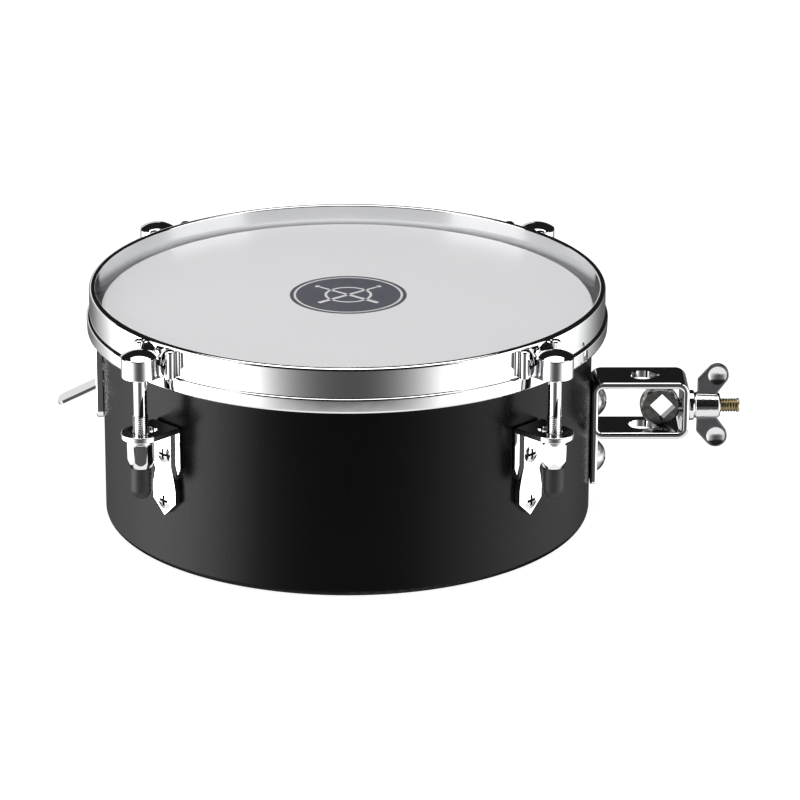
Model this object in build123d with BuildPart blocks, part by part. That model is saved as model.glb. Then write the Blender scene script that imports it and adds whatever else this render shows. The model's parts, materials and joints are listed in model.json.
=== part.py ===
from build123d import *
import os
from math import cos, radians, sin, sqrt

# A ten-inch snare timbale: one steel shell with a single tuned head, four lugs, a rod clamp on its
# right and a snare throw-off lever on its left. Millimetres, +Z up. The origin is on the drum's
# axis, in the plane of the shell's bottom rim. The clamp is at +X and the player stands at -Y.

os.makedirs("parts", exist_ok=True)

# Shell and head
SHELL_R = 127.0
SHELL_WALL = 1.2
HEAD_Z = 114.3
FILM = 0.25
EDGE_R = 3.0
RIM_LIP = 4.5
BEARING_LIP = 1.5
COLLAR_DROP = 11.0
SKIN_GAP = 0.05
FLESH_HOOP_RISE = 0.7
FLESH_HOOP_CLEARANCE = 0.3
FLESH_HOOP_ROUND = 0.4

# Counterhoop
HOOP_R = 133.55
HOOP_WALL = 3.2
HOOP_TOP_Z = 123.4
BEAD_R = 135.0
BEAD_LOW_Z = 100.25
BEAD_TOP_Z = 108.1
BEAD_RECESS_R = 132.6
LEDGE_Z = 107.6
HOOP_TOP_OUTER_ROUND = 1.6
HOOP_TOP_INNER_ROUND = 0.9
BEAD_ROUND = 1.1

# Lugs
LUGS = {"front_left": 225, "front_right": 315, "back_right": 45, "back_left": 135}
NUT_TURN = {"front_left": 15, "front_right": 15, "back_right": 0, "back_left": 25}
ROD_CIRCLE_R = 145.4
ROD_R = 3.4
THREAD_R = 3.9
ROD_CLEARANCE = 0.08
THREAD_PITCH = 1.0
THREAD_DEPTH = 0.6
THREAD_TOP_Z = 88.0
VISIBLE_THREADS = 13
ROD_LOW_Z = 47.6
ROD_TIP = 1.0
BOSS_R = 9.25
BOSS_LOW_Z = 108.4
BOSS_TOP_Z = 119.2
BOSS_EDGE = 0.5
BOSS_GROOVE = 0.3
DOME_H = 3.0
ROD_SOCKET_TOP_Z = 116.5
CLAW_TOP_Z = 122.4
CLAW_NECK_TOP_Z = 117.9
CLAW_NECK_HALF_WIDTH = 9.0
CLAW_WAIST_HALF_WIDTH = 8.4
CLAW_SLOPE_X = 138.6
CLAW_VALLEY_Z = 114.6
CLAW_VALLEY_R = 7.0
CLAW_SCOOP_R = 9.0
CLAW_SCOOP_START = (133.2, 15.8, 116.0)
CLAW_SCOOP_END = (146.4, 17.5, 123.0)
CLAW_SCOOP_LENGTH = 18.0
RIDGE_X = 135.2
RIDGE_Y = 11.4
RIDGE_R = 2.6
RIDGE_ROUND = 1.2

# Lug bracket
BRACKET_WALL = 3.3
BRACKET_FOOT_T = 1.5
BRACKET_CROWN_HALF_WIDTH = 5.1
BRACKET_FLANK_HALF_WIDTH = 6.95
SHELF_TOP_Z = 79.1
SHELF_T = 3.0
TONGUE_R = 9.9
ROD_SLOT_R = 4.4
ROD_SLOT_RUN = 5.0
BRACKET_OUTER_BEND_R = 2.0
BRACKET_EDGE = 0.5
PLATE_LOW_HALF_WIDTH = 8.0
PLATE_WAIST_HALF_WIDTH = 7.0
PLATE_SHOULDER_Z = 57.2
PLATE_WAIST_Z = 50.5
PLATE_FLARE_Z = 45.0
PLATE_CORNER_Z = 38.0
PLATE_TIP_Z = 30.5
LUG_SCREW_Z = (63.3, 38.3)
LUG_SCREW_HEAD_R = 4.8
LUG_SCREW_HEAD_H = 0.7
LUG_SCREW_R = 2.0
SCREW_END = 2.2
INNER_WASHER_R = 4.5
INNER_WASHER_T = 0.8
SMALL_NUT_FLATS = 7.0
SMALL_NUT_H = 3.0

# Cross recess in every screw head, as fractions of the head's radius or height
RECESS_LENGTH = 1.12
RECESS_WIDTH = 0.22
RECESS_DEPTH = 0.8

# Tension nut, washer and cap
WASHER_R = 6.8
WASHER_T = 2.3
WASHER_ROUND = 0.5
NUT_FLATS = 12.0
NUT_H = 13.2
NUT_FACE_INSET = 1.1
NUT_LOW_BEVEL = 2.3
NUT_TOP_BEVEL = 0.5
CAP_R = 5.4
CAP_LENGTH = 16.7
CAP_WALL = 1.2
CAP_FLOOR = 3.2
CAP_SOCKET = 2.0
NUT_NOSE_R = 4.5
FACE_GAP = 0.05

# Rod clamp
STRAP_T = 3.6
STRAP_HALF_WIDTH = 13.0
STRAP_TOP_Z = 71.9
STRAP_FOOT_Z = 40.7
STRAP_RIGHT_X = 177.9
STRAP_END_Z = 15.5
STRAP_BEND_R = 6.0
STRAP_EDGE = 1.4
CLAMP_Z = 55.2
ROD_HOLE_X = 153.9
ROD_HOLE_R = 6.5
CLAMP_SCREW_Z = (58.0, 27.0)
CLAMP_SCREW_HEAD_R = 8.4
CLAMP_SCREW_HEAD_H = 5.0
CLAMP_SCREW_R = 3.0
CLAMP_NUT_FLATS = 10.0
CLAMP_NUT_H = 5.0
BACKING_T = 1.5
BACKING_X = 125.1
BACKING_LOW_Z = 17.0
BACKING_TOP_Z = 99.5
BACKING_CORNER = 3.0

# Eye bolt, washer and wing nut
EYE_X = 164.3
EYE_RING_X = 163.4
EYE_R = 10.3
EYE_HALF_T = 3.9
EYE_EDGE = 1.0
EYE_HOLE = 10.3
EYE_HOLE_EDGE = 0.25
SHANK_R = 3.75
SHANK_CLEARANCE = 0.08
SHANK_END_X = 205.0
SHANK_PITCH = 1.41
SHANK_THREAD_DEPTH = 0.75
SHANK_TIP = 0.6
CLAMP_WASHER_R = 7.9
CLAMP_WASHER_T = 3.2
CLAMP_WASHER_EDGE = 0.6
CLAMP_GAP = 0.2
WING_HUB_R = 6.9
WING_HUB_LENGTH = 13.4
WING_HUB_EDGE = 0.8
WING_HUB_TAPER = 0.3
WING_TIP_R = 6.0
WING_TIP_X = 193.1
WING_SPAN = 16.9
WING_HALF_T = 1.7
WING_ROOT_X = 183.0
WING_SHOULDER = 14.5
WING_CROTCH = 6.1
WING_CROTCH_X = 192.6
WING_INNER_TANGENT = 44.0
WING_OUTER_TANGENT = 40.5
WING_DISH_R = 5.0
WING_DISH_DEPTH = 1.0
WING_RIM_ROUND = 0.6

# Snare lever and its plate
LEVER_ANGLE = 26.0
LEVER_PIVOT_X = -118.0
LEVER_PIVOT_Z = 73.6
LEVER_OUT = 36.4
LEVER_IN = 15.0
LEVER_HALF_WIDTH = 6.15
LEVER_T = 2.0
LEVER_BARREL_R = 3.6
LEVER_NOSE_R = 2.0
LEVER_CORNER = 3.0
LEVER_TIP_ROUND = 0.4
PIN_R = 2.0
PIN_CLEARANCE = 0.06
PIN_HEAD = 0.8
LEVER_PLATE_T = 3.6
LEVER_PLATE_CORNER = 4.0
LEVER_PLATE_ROUND = 0.9
LEVER_PLATE_HALF_WIDTH = 11.0
LEVER_PLATE_LOW_Z = 51.5
LEVER_PLATE_TOP_Z = 97.5
LEVER_SLOT_Z = (65.0, 80.4)
LEVER_SLOT_HALF_WIDTH = 6.8
LEVER_SCREW_Z = (58.0, 91.0)
LEVER_SCREW_R = 2.0
LEVER_SCREW_HEAD_R = 4.0
LEVER_SCREW_RECESS = 1.4
LEVER_SLOT_MARGIN = 0.5
COUNTERSINK_ANGLE = 90
FULCRUM_X = -125.25
FULCRUM_T = 1.5
FULCRUM_INSET = 0.5
FULCRUM_CORNER = 3.0
FULCRUM_EAR_T = 1.5
FULCRUM_EAR_Y = 7.0
FULCRUM_EAR_END = 4.5

# Snare frame
FRAME_PIVOT_X = 113.0
FRAME_PIVOT_Z = 94.0
FRAME_BAR_Z = 106.0
FRAME_T = 2.0
FRAME_HALF_WIDTH = 9.0
FRAME_LEG_X = -101.5
FRAME_FOOT_Z = 82.6
FRAME_FOOT_END_X = -109.5
FRAME_BARREL_R = 3.4
FRAME_EAR_Y = 9.8
FRAME_EAR_T = 1.5
FRAME_EAR_R = 5.0
SNARE_WIRE_R = 1.0
SNARE_WIRE_GAP = 0.35
SNARE_WIRES = 12
SNARE_WIRE_PITCH = 4.0
SNARE_HALF_LENGTH = 78.0
SNARE_PLATE_LENGTH = 10.0
SNARE_PLATE_X = 74.0
SNARE_PLATE_T = 1.0
SNARE_PLATE_MARGIN = 3.0
SNARE_PLATE_CORNER = 2.0
SNARE_SCREW_R = 1.5
SNARE_SCREW_Y = 6.0
SNARE_SCREW_HEAD_R = 2.8
SNARE_SCREW_HEAD_H = 1.4


def write(piece, label):
    piece.label = label
    export_step(piece, f"parts/{label}.step")


def turned(shape, azimuth):
    """The same shape swung about the drum's axis to one lug's azimuth."""
    with BuildPart() as placed:
        add(shape, rotation=(0, 0, azimuth))
    return placed.part


def write_group(shapes, label):
    """Several separate solids of one kind, written as one node."""
    with BuildPart() as group:
        for shape in shapes:
            add(shape)
    write(group.part, label)


def radial_plane(x, z):
    """A plane facing outwards along +X, whose local x runs along +Y and local y along +Z."""
    return Plane(origin=(x, 0, z), x_dir=(0, 1, 0), z_dir=(1, 0, 0))


def build_shell():
    bearing_z = HEAD_Z - FILM
    inner_r = SHELL_R - SHELL_WALL
    inner_edge = EDGE_R - SHELL_WALL
    with BuildPart() as shell:
        with BuildSketch(Plane.XZ):
            with BuildLine():
                a = (SHELL_R - RIM_LIP, 0)
                b = (SHELL_R - EDGE_R, 0)
                c = (SHELL_R, EDGE_R)
                d = (SHELL_R, bearing_z - EDGE_R)
                e = (SHELL_R - EDGE_R, bearing_z)
                f = (SHELL_R - EDGE_R - BEARING_LIP, bearing_z)
                Line(a, b)
                RadiusArc(b, c, -EDGE_R)
                Line(c, d)
                RadiusArc(d, e, -EDGE_R)
                Line(e, f)
                g = (f[0], bearing_z - SHELL_WALL)
                h = (SHELL_R - EDGE_R, bearing_z - SHELL_WALL)
                i = (inner_r, bearing_z - EDGE_R)
                j = (inner_r, EDGE_R)
                k = (SHELL_R - EDGE_R, SHELL_WALL)
                m = (a[0], SHELL_WALL)
                Line(f, g)
                Line(g, h)
                RadiusArc(h, i, inner_edge)
                Line(i, j)
                RadiusArc(j, k, inner_edge)
                Line(k, m)
                Line(m, a)
            make_face()
        revolve(axis=Axis.Z)
        for azimuth in LUGS.values():
            for z in LUG_SCREW_Z:
                outward = (cos(radians(azimuth)), sin(radians(azimuth)), 0)
                along = (-outward[1], outward[0], 0)
                wall = Plane(origin=(0, 0, z), x_dir=along, z_dir=outward)
                with BuildSketch(wall.offset(SHELL_R - EDGE_R)):
                    Circle(LUG_SCREW_R + FACE_GAP)
                extrude(amount=2 * EDGE_R, mode=Mode.SUBTRACT)
        for z in CLAMP_SCREW_Z:
            with BuildSketch(radial_plane(SHELL_R - EDGE_R, z)):
                Circle(CLAMP_SCREW_R + FACE_GAP)
            extrude(amount=2 * EDGE_R, mode=Mode.SUBTRACT)
        for z in LEVER_SCREW_Z:
            with BuildSketch(radial_plane(-SHELL_R - EDGE_R, z)):
                Circle(LEVER_SCREW_R + FACE_GAP)
            extrude(amount=2 * EDGE_R, mode=Mode.SUBTRACT)
        slot_z = sum(LEVER_SLOT_Z) / 2
        with BuildSketch(radial_plane(-SHELL_R - EDGE_R, slot_z)):
            slot_width = 2 * (LEVER_SLOT_HALF_WIDTH + LEVER_SLOT_MARGIN)
            Rectangle(slot_width, LEVER_SLOT_Z[1] - LEVER_SLOT_Z[0] + 2 * LEVER_SLOT_MARGIN)
        extrude(amount=2 * EDGE_R, mode=Mode.SUBTRACT)
    write(shell.part, "shell")


def build_head():
    under_z = HEAD_Z - FILM
    inner_r = SHELL_R + SKIN_GAP
    with BuildPart() as film:
        with BuildSketch(Plane.XZ):
            with BuildLine():
                bend = inner_r - SHELL_R + EDGE_R
                low = HEAD_Z - COLLAR_DROP
                Line((0, under_z), (inner_r - bend, under_z))
                RadiusArc((inner_r - bend, under_z), (inner_r, under_z - bend), bend)
                Polyline(
                    (inner_r, under_z - bend),
                    (inner_r, low),
                    (inner_r + FILM, low),
                    (inner_r + FILM, under_z - bend),
                )
                RadiusArc((inner_r + FILM, under_z - bend), (inner_r - bend, HEAD_Z), -bend - FILM)
                Polyline((inner_r - bend, HEAD_Z), (0, HEAD_Z), (0, under_z))
            make_face()
        revolve(axis=Axis.Z)
    write(film.part, "head_film")

    with BuildPart() as flesh_hoop:
        with BuildSketch(Plane.XZ):
            with BuildLine():
                left = inner_r + FILM + SKIN_GAP
                right = BEAD_RECESS_R - FLESH_HOOP_CLEARANCE
                low = BEAD_LOW_Z + FLESH_HOOP_RISE
                top = LEDGE_Z - FACE_GAP
                Polyline((left, low), (right, low), (right, top), (left, top), close=True)
            make_face()
        revolve(axis=Axis.Z)
        outer_edge = flesh_hoop.edges().group_by(Axis.Z)[-1].sort_by(SortBy.LENGTH)[-1]
        fillet(outer_edge, FLESH_HOOP_ROUND)
    write(flesh_hoop.part, "flesh_hoop")


def build_hoop():
    inner_r = HOOP_R - HOOP_WALL
    with BuildPart() as hoop:
        with BuildSketch(Plane.XZ) as profile:
            with BuildLine():
                Polyline(
                    (inner_r, LEDGE_Z),
                    (BEAD_RECESS_R, LEDGE_Z),
                    (BEAD_RECESS_R, BEAD_LOW_Z),
                    (BEAD_R, BEAD_LOW_Z),
                    (BEAD_R, BEAD_TOP_Z),
                    (HOOP_R, BEAD_TOP_Z),
                    (HOOP_R, HOOP_TOP_Z),
                    (inner_r, HOOP_TOP_Z),
                    close=True,
                )
            make_face()
            outer_corner = profile.vertices().group_by(Axis.Y)[-1].sort_by(Axis.X)[-1]
            fillet(outer_corner, HOOP_TOP_OUTER_ROUND)
            inner_corner = profile.vertices().group_by(Axis.Y)[-1].sort_by(Axis.X)[0]
            fillet(inner_corner, HOOP_TOP_INNER_ROUND)
            bead = profile.vertices().group_by(Axis.X)[-1]
            fillet(bead, BEAD_ROUND)
        revolve(axis=Axis.Z)
    write(hoop.part, "hoop")


def claw_shape():
    """A saddle: a domed boss on the rod, a scooped neck, and two upright ridges that hug the hoop."""
    low = BEAD_TOP_Z + FACE_GAP
    height = CLAW_TOP_Z - low
    waist_x = (HOOP_R + ROD_CIRCLE_R) / 2
    with BuildPart() as claw:
        with BuildSketch(Plane.XY.offset(low)):
            with BuildLine():
                left = CLAW_NECK_HALF_WIDTH
                waist = CLAW_WAIST_HALF_WIDTH
                Line((RIDGE_X - RIDGE_R, -left), (RIDGE_X - RIDGE_R, left))
                ThreePointArc((RIDGE_X - RIDGE_R, left), (waist_x, waist), (ROD_CIRCLE_R, left))
                Line((ROD_CIRCLE_R, left), (ROD_CIRCLE_R, -left))
                ThreePointArc((ROD_CIRCLE_R, -left), (waist_x, -waist), (RIDGE_X - RIDGE_R, -left))
            make_face()
        extrude(amount=height)
        for side in (1, -1):
            start = Vector(CLAW_SCOOP_START[0], side * CLAW_SCOOP_START[1], CLAW_SCOOP_START[2])
            end = Vector(CLAW_SCOOP_END[0], side * CLAW_SCOOP_END[1], CLAW_SCOOP_END[2])
            with BuildSketch(Plane(origin=start, z_dir=end - start)):
                Circle(CLAW_SCOOP_R)
            extrude(amount=CLAW_SCOOP_LENGTH, mode=Mode.SUBTRACT)
        with BuildSketch(Plane.XZ.offset(BOSS_R)):
            with BuildLine():
                Polyline(
                    (RIDGE_X, CLAW_TOP_Z),
                    (CLAW_SLOPE_X, CLAW_NECK_TOP_Z),
                    (ROD_CIRCLE_R, CLAW_NECK_TOP_Z),
                    (ROD_CIRCLE_R, CLAW_TOP_Z),
                    close=True,
                )
            make_face()
        extrude(amount=-2 * BOSS_R, mode=Mode.SUBTRACT)
        for side in (1, -1):
            with BuildSketch(Plane.XZ.offset(-side * RIDGE_Y)):
                with BuildLine():
                    Polyline(
                        (RIDGE_X, CLAW_TOP_Z),
                        (RIDGE_X, low),
                        (RIDGE_X + RIDGE_R, low),
                        (RIDGE_X + RIDGE_R, CLAW_TOP_Z - RIDGE_ROUND),
                    )
                    RadiusArc(
                        (RIDGE_X + RIDGE_R, CLAW_TOP_Z - RIDGE_ROUND),
                        (RIDGE_X + RIDGE_R - RIDGE_ROUND, CLAW_TOP_Z),
                        -RIDGE_ROUND,
                    )
                    Line((RIDGE_X + RIDGE_R - RIDGE_ROUND, CLAW_TOP_Z), (RIDGE_X, CLAW_TOP_Z))
                make_face()
            revolve(axis=Axis((RIDGE_X, side * RIDGE_Y, 0), (0, 0, 1)))
        with BuildSketch(radial_plane(HOOP_R - RIDGE_R, CLAW_VALLEY_Z + CLAW_VALLEY_R)):
            Circle(CLAW_VALLEY_R)
        extrude(amount=ROD_CIRCLE_R - BOSS_R / 2 - HOOP_R + RIDGE_R, mode=Mode.SUBTRACT)
        with BuildSketch(Plane.XY.offset(low)):
            Circle(HOOP_R + FACE_GAP)
        extrude(amount=height, mode=Mode.SUBTRACT)
        with BuildSketch(Plane.XZ):
            with BuildLine():
                x = ROD_CIRCLE_R
                dome_r = (BOSS_R**2 + DOME_H**2) / (2 * DOME_H)
                Polyline(
                    (x, BOSS_TOP_Z + DOME_H),
                    (x, BOSS_LOW_Z),
                    (x + BOSS_R - BOSS_EDGE, BOSS_LOW_Z),
                    (x + BOSS_R, BOSS_LOW_Z + BOSS_EDGE),
                    (x + BOSS_R, BOSS_TOP_Z - 2 * BOSS_GROOVE),
                    (x + BOSS_R - BOSS_GROOVE, BOSS_TOP_Z - BOSS_GROOVE),
                    (x + BOSS_R, BOSS_TOP_Z),
                )
                RadiusArc((x + BOSS_R, BOSS_TOP_Z), (x, BOSS_TOP_Z + DOME_H), -dome_r)
            make_face()
        revolve(axis=Axis((ROD_CIRCLE_R, 0, 0), (0, 0, 1)))
        with BuildSketch(Plane.XY.offset(low)):
            with Locations((ROD_CIRCLE_R, 0)):
                Circle(ROD_R)
        extrude(amount=ROD_SOCKET_TOP_Z - low, mode=Mode.SUBTRACT)
    return claw.part


def rod_shape():
    """A smooth rod with a thicker rolled thread below, standing in the boss's blind hole."""
    shank_x = ROD_CIRCLE_R + ROD_R
    crest_x = ROD_CIRCLE_R + THREAD_R
    with BuildPart() as rod:
        with BuildSketch(Plane.XZ):
            with BuildLine():
                points = [
                    (ROD_CIRCLE_R, ROD_SOCKET_TOP_Z),
                    (shank_x, ROD_SOCKET_TOP_Z),
                    (shank_x, THREAD_TOP_Z + THREAD_R - ROD_R),
                ]
                for turn in range(VISIBLE_THREADS):
                    z = THREAD_TOP_Z - turn * THREAD_PITCH
                    points.append((crest_x, z))
                    points.append((crest_x - THREAD_DEPTH, z - THREAD_PITCH / 2))
                points.append((crest_x, THREAD_TOP_Z - VISIBLE_THREADS * THREAD_PITCH))
                points.append((crest_x, ROD_LOW_Z + ROD_TIP))
                points.append((crest_x - ROD_TIP, ROD_LOW_Z))
                points.append((ROD_CIRCLE_R, ROD_LOW_Z))
                Polyline(*points, close=True)
            make_face()
        revolve(axis=Axis((ROD_CIRCLE_R, 0, 0), (0, 0, 1)))
    return rod.part


def plate_outline(low, top_half_width):
    """Half of the plate's front outline, from its top down to the point of its foot."""
    return [
        (top_half_width, low),
        (top_half_width, PLATE_SHOULDER_Z),
        (PLATE_WAIST_HALF_WIDTH, PLATE_WAIST_Z),
        (PLATE_LOW_HALF_WIDTH, PLATE_FLARE_Z),
        (PLATE_LOW_HALF_WIDTH, PLATE_CORNER_Z),
        (0, PLATE_TIP_Z),
    ]


def bracket_shape():
    """A stamped bracket: a raised plate with a pointed foot and two side flanges, and a shelf."""
    low = SHELF_TOP_Z - SHELF_T
    crown_x = SHELL_R + BRACKET_WALL
    foot_x = SHELL_R + BRACKET_FOOT_T
    with BuildPart() as bracket:
        with BuildSketch(Plane.XY.offset(PLATE_TIP_Z)):
            with BuildLine():
                half = [
                    (SHELL_R, TONGUE_R),
                    (foot_x, TONGUE_R),
                    (foot_x, BRACKET_FLANK_HALF_WIDTH),
                    (crown_x, BRACKET_CROWN_HALF_WIDTH),
                ]
                Polyline(*half, *[(x, -y) for x, y in reversed(half)], close=True)
            make_face()
        extrude(amount=low - PLATE_TIP_Z)
        with BuildSketch(radial_plane(SHELL_R, 0)):
            with BuildLine():
                half = plate_outline(low, TONGUE_R)
                Polyline(*half, *[(-y, z) for y, z in reversed(half[:-1])], close=True)
            make_face()
        extrude(amount=BRACKET_WALL, mode=Mode.INTERSECT)
        with BuildSketch(radial_plane(SHELL_R, 0)):
            with BuildLine():
                half = plate_outline(low, BRACKET_CROWN_HALF_WIDTH)
                Polyline(*half, *[(-y, z) for y, z in reversed(half[:-1])], close=True)
            make_face()
        extrude(amount=BRACKET_WALL)
        with BuildSketch(Plane.XY.offset(low)):
            with Locations(((SHELL_R + ROD_CIRCLE_R) / 2, 0)):
                Rectangle(ROD_CIRCLE_R - SHELL_R, 2 * TONGUE_R)
            with Locations((ROD_CIRCLE_R, 0)):
                Circle(TONGUE_R)
            with Locations((ROD_CIRCLE_R - ROD_SLOT_RUN / 2, 0)):
                SlotCenterToCenter(ROD_SLOT_RUN, 2 * ROD_SLOT_R, mode=Mode.SUBTRACT)
        extrude(amount=SHELF_T)
        outer_bend = bracket.edges().filter_by(Axis.Y).group_by(Axis.Z)[-1].sort_by(Axis.X)[0]
        fillet(outer_bend, BRACKET_OUTER_BEND_R)
        rounds = bracket.edges().filter_by(GeomType.CIRCLE).sort_by(Axis.X)
        fillet(rounds[-2:], BRACKET_EDGE)
        for z in LUG_SCREW_Z:
            with BuildSketch(radial_plane(SHELL_R, z)):
                Circle(LUG_SCREW_R + FACE_GAP)
            extrude(amount=BRACKET_WALL, mode=Mode.SUBTRACT)
    return bracket.part


def washer_shape():
    top = SHELF_TOP_Z - SHELF_T - FACE_GAP
    with BuildPart() as washer:
        with BuildSketch(Plane.XY.offset(top)):
            with Locations((ROD_CIRCLE_R, 0)):
                Circle(WASHER_R)
                Circle(THREAD_R + ROD_CLEARANCE, mode=Mode.SUBTRACT)
        extrude(amount=-WASHER_T)
        fillet(washer.edges().filter_by(GeomType.CIRCLE).sort_by(SortBy.RADIUS)[-2:], WASHER_ROUND)
    return washer.part


def nut_top_z():
    return SHELF_TOP_Z - SHELF_T - 2 * FACE_GAP - WASHER_T


def nut_shape(turn):
    """A tall hex nut with bevelled corners and a round nose below, on which the cap is pushed."""
    top = nut_top_z()
    low = top - NUT_H
    corner_r = NUT_FLATS / sqrt(3) + FACE_GAP
    face_r = NUT_FLATS / 2
    with BuildPart() as nut:
        with BuildSketch(Plane.XY.offset(low)):
            with Locations(Location((ROD_CIRCLE_R, 0), turn)):
                RegularPolygon(NUT_FLATS / 2, 6, major_radius=False)
        extrude(amount=NUT_H)
        with BuildSketch(Plane.XZ):
            with BuildLine():
                x = ROD_CIRCLE_R
                Polyline(
                    (x, low),
                    (x + face_r - NUT_FACE_INSET, low),
                    (x + corner_r, low + NUT_LOW_BEVEL),
                    (x + corner_r, top - NUT_TOP_BEVEL),
                    (x + face_r, top),
                    (x, top),
                    close=True,
                )
            make_face()
        revolve(axis=Axis((ROD_CIRCLE_R, 0, 0), (0, 0, 1)), mode=Mode.INTERSECT)
        with BuildSketch(Plane.XY.offset(low)):
            with Locations((ROD_CIRCLE_R, 0)):
                Circle(NUT_NOSE_R)
        extrude(amount=-CAP_SOCKET)
        with BuildSketch(Plane.XY.offset(low - CAP_SOCKET)):
            with Locations((ROD_CIRCLE_R, 0)):
                Circle(THREAD_R + ROD_CLEARANCE)
        extrude(amount=NUT_H + CAP_SOCKET, mode=Mode.SUBTRACT)
    return nut.part


def cap_shape():
    """A round-ended rubber cap over the rod's end, open at the top where it grips the nut's nose."""
    top = nut_top_z() - NUT_H - FACE_GAP
    low = top - CAP_LENGTH
    x = ROD_CIRCLE_R
    inner_r = CAP_R - CAP_WALL
    socket_r = NUT_NOSE_R + FACE_GAP
    with BuildPart() as cap:
        with BuildSketch(Plane.XZ):
            with BuildLine():
                Line((x, low), (x, low + CAP_FLOOR))
                Line((x, low + CAP_FLOOR), (x + inner_r, low + CAP_FLOOR))
                Polyline(
                    (x + inner_r, low + CAP_FLOOR),
                    (x + inner_r, top - CAP_SOCKET),
                    (x + socket_r, top - CAP_SOCKET),
                    (x + socket_r, top),
                    (x + CAP_R, top),
                    (x + CAP_R, low + CAP_R),
                )
                RadiusArc((x + CAP_R, low + CAP_R), (x, low), CAP_R)
            make_face()
        revolve(axis=Axis((ROD_CIRCLE_R, 0, 0), (0, 0, 1)))
    return cap.part


def build_lugs():
    claw, rod, bracket = claw_shape(), rod_shape(), bracket_shape()
    washer, cap = washer_shape(), cap_shape()
    for name, azimuth in LUGS.items():
        write(turned(claw, azimuth), f"claw_{name}")
        write(turned(rod, azimuth), f"tension_rod_{name}")
        write(turned(bracket, azimuth), f"lug_bracket_{name}")
        write(turned(washer, azimuth), f"nut_washer_{name}")
        write(turned(nut_shape(NUT_TURN[name]), azimuth), f"tension_nut_{name}")
        write(turned(cap, azimuth), f"rubber_cap_{name}")


def screw_shape(x, z, head_r, head_h, shank_r, end_x):
    """A domed cross-head screw that points inwards along -X, with its head standing on the plane at x."""
    dome_r = (head_r**2 + head_h**2) / (2 * head_h)
    top_x = x + head_h
    mid = (top_x - dome_r + sqrt(dome_r**2 - (head_r / 2) ** 2), head_r / 2)
    with BuildPart() as screw:
        with BuildSketch(Plane.XY.offset(z)):
            with BuildLine():
                Polyline((top_x, 0), (end_x, 0), (end_x, shank_r), (x, shank_r), (x, head_r))
                ThreePointArc((x, head_r), mid, (top_x, 0))
            make_face()
        revolve(axis=Axis((x, 0, z), (1, 0, 0)))
        with BuildSketch(radial_plane(top_x, z)):
            Rectangle(head_r * RECESS_LENGTH, head_r * RECESS_WIDTH)
            Rectangle(head_r * RECESS_WIDTH, head_r * RECESS_LENGTH)
        extrude(amount=-head_h * RECESS_DEPTH, mode=Mode.SUBTRACT)
    return screw.part


def inner_nut_shape(x, z, flats, height, bore_r):
    """A hex nut standing on the plane at x, with its height along +X."""
    with BuildPart() as nut:
        with BuildSketch(radial_plane(x, z)):
            RegularPolygon(flats / 2, 6, major_radius=False)
            Circle(bore_r, mode=Mode.SUBTRACT)
        extrude(amount=height)
    return nut.part


def inner_washer_shape(x, z, radius, thickness):
    with BuildPart() as washer:
        with BuildSketch(radial_plane(x, z)):
            Circle(radius)
            Circle(LUG_SCREW_R + FACE_GAP, mode=Mode.SUBTRACT)
        extrude(amount=thickness)
    return washer.part


def build_lug_fasteners():
    """Two screws, two inner washers and two inner nuts on each lug, as three groups."""
    washer_x = sqrt((SHELL_R - SHELL_WALL) ** 2 - INNER_WASHER_R**2)
    nut_x = washer_x - INNER_WASHER_T - FACE_GAP
    end_x = nut_x - SMALL_NUT_H - SCREW_END
    head_x = SHELL_R + BRACKET_WALL + FACE_GAP
    bore_r = LUG_SCREW_R + FACE_GAP
    screws, washers, nuts = [], [], []
    for z in LUG_SCREW_Z:
        screw = screw_shape(head_x, z, LUG_SCREW_HEAD_R, LUG_SCREW_HEAD_H, LUG_SCREW_R, end_x)
        washer = inner_washer_shape(washer_x - INNER_WASHER_T, z, INNER_WASHER_R, INNER_WASHER_T)
        nut = inner_nut_shape(nut_x - SMALL_NUT_H, z, SMALL_NUT_FLATS, SMALL_NUT_H, bore_r)
        for azimuth in LUGS.values():
            screws.append(turned(screw, azimuth))
            washers.append(turned(washer, azimuth))
            nuts.append(turned(nut, azimuth))
    write_group(screws, "lug_screws")
    write_group(washers, "lug_inner_washers")
    write_group(nuts, "lug_inner_nuts")


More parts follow.
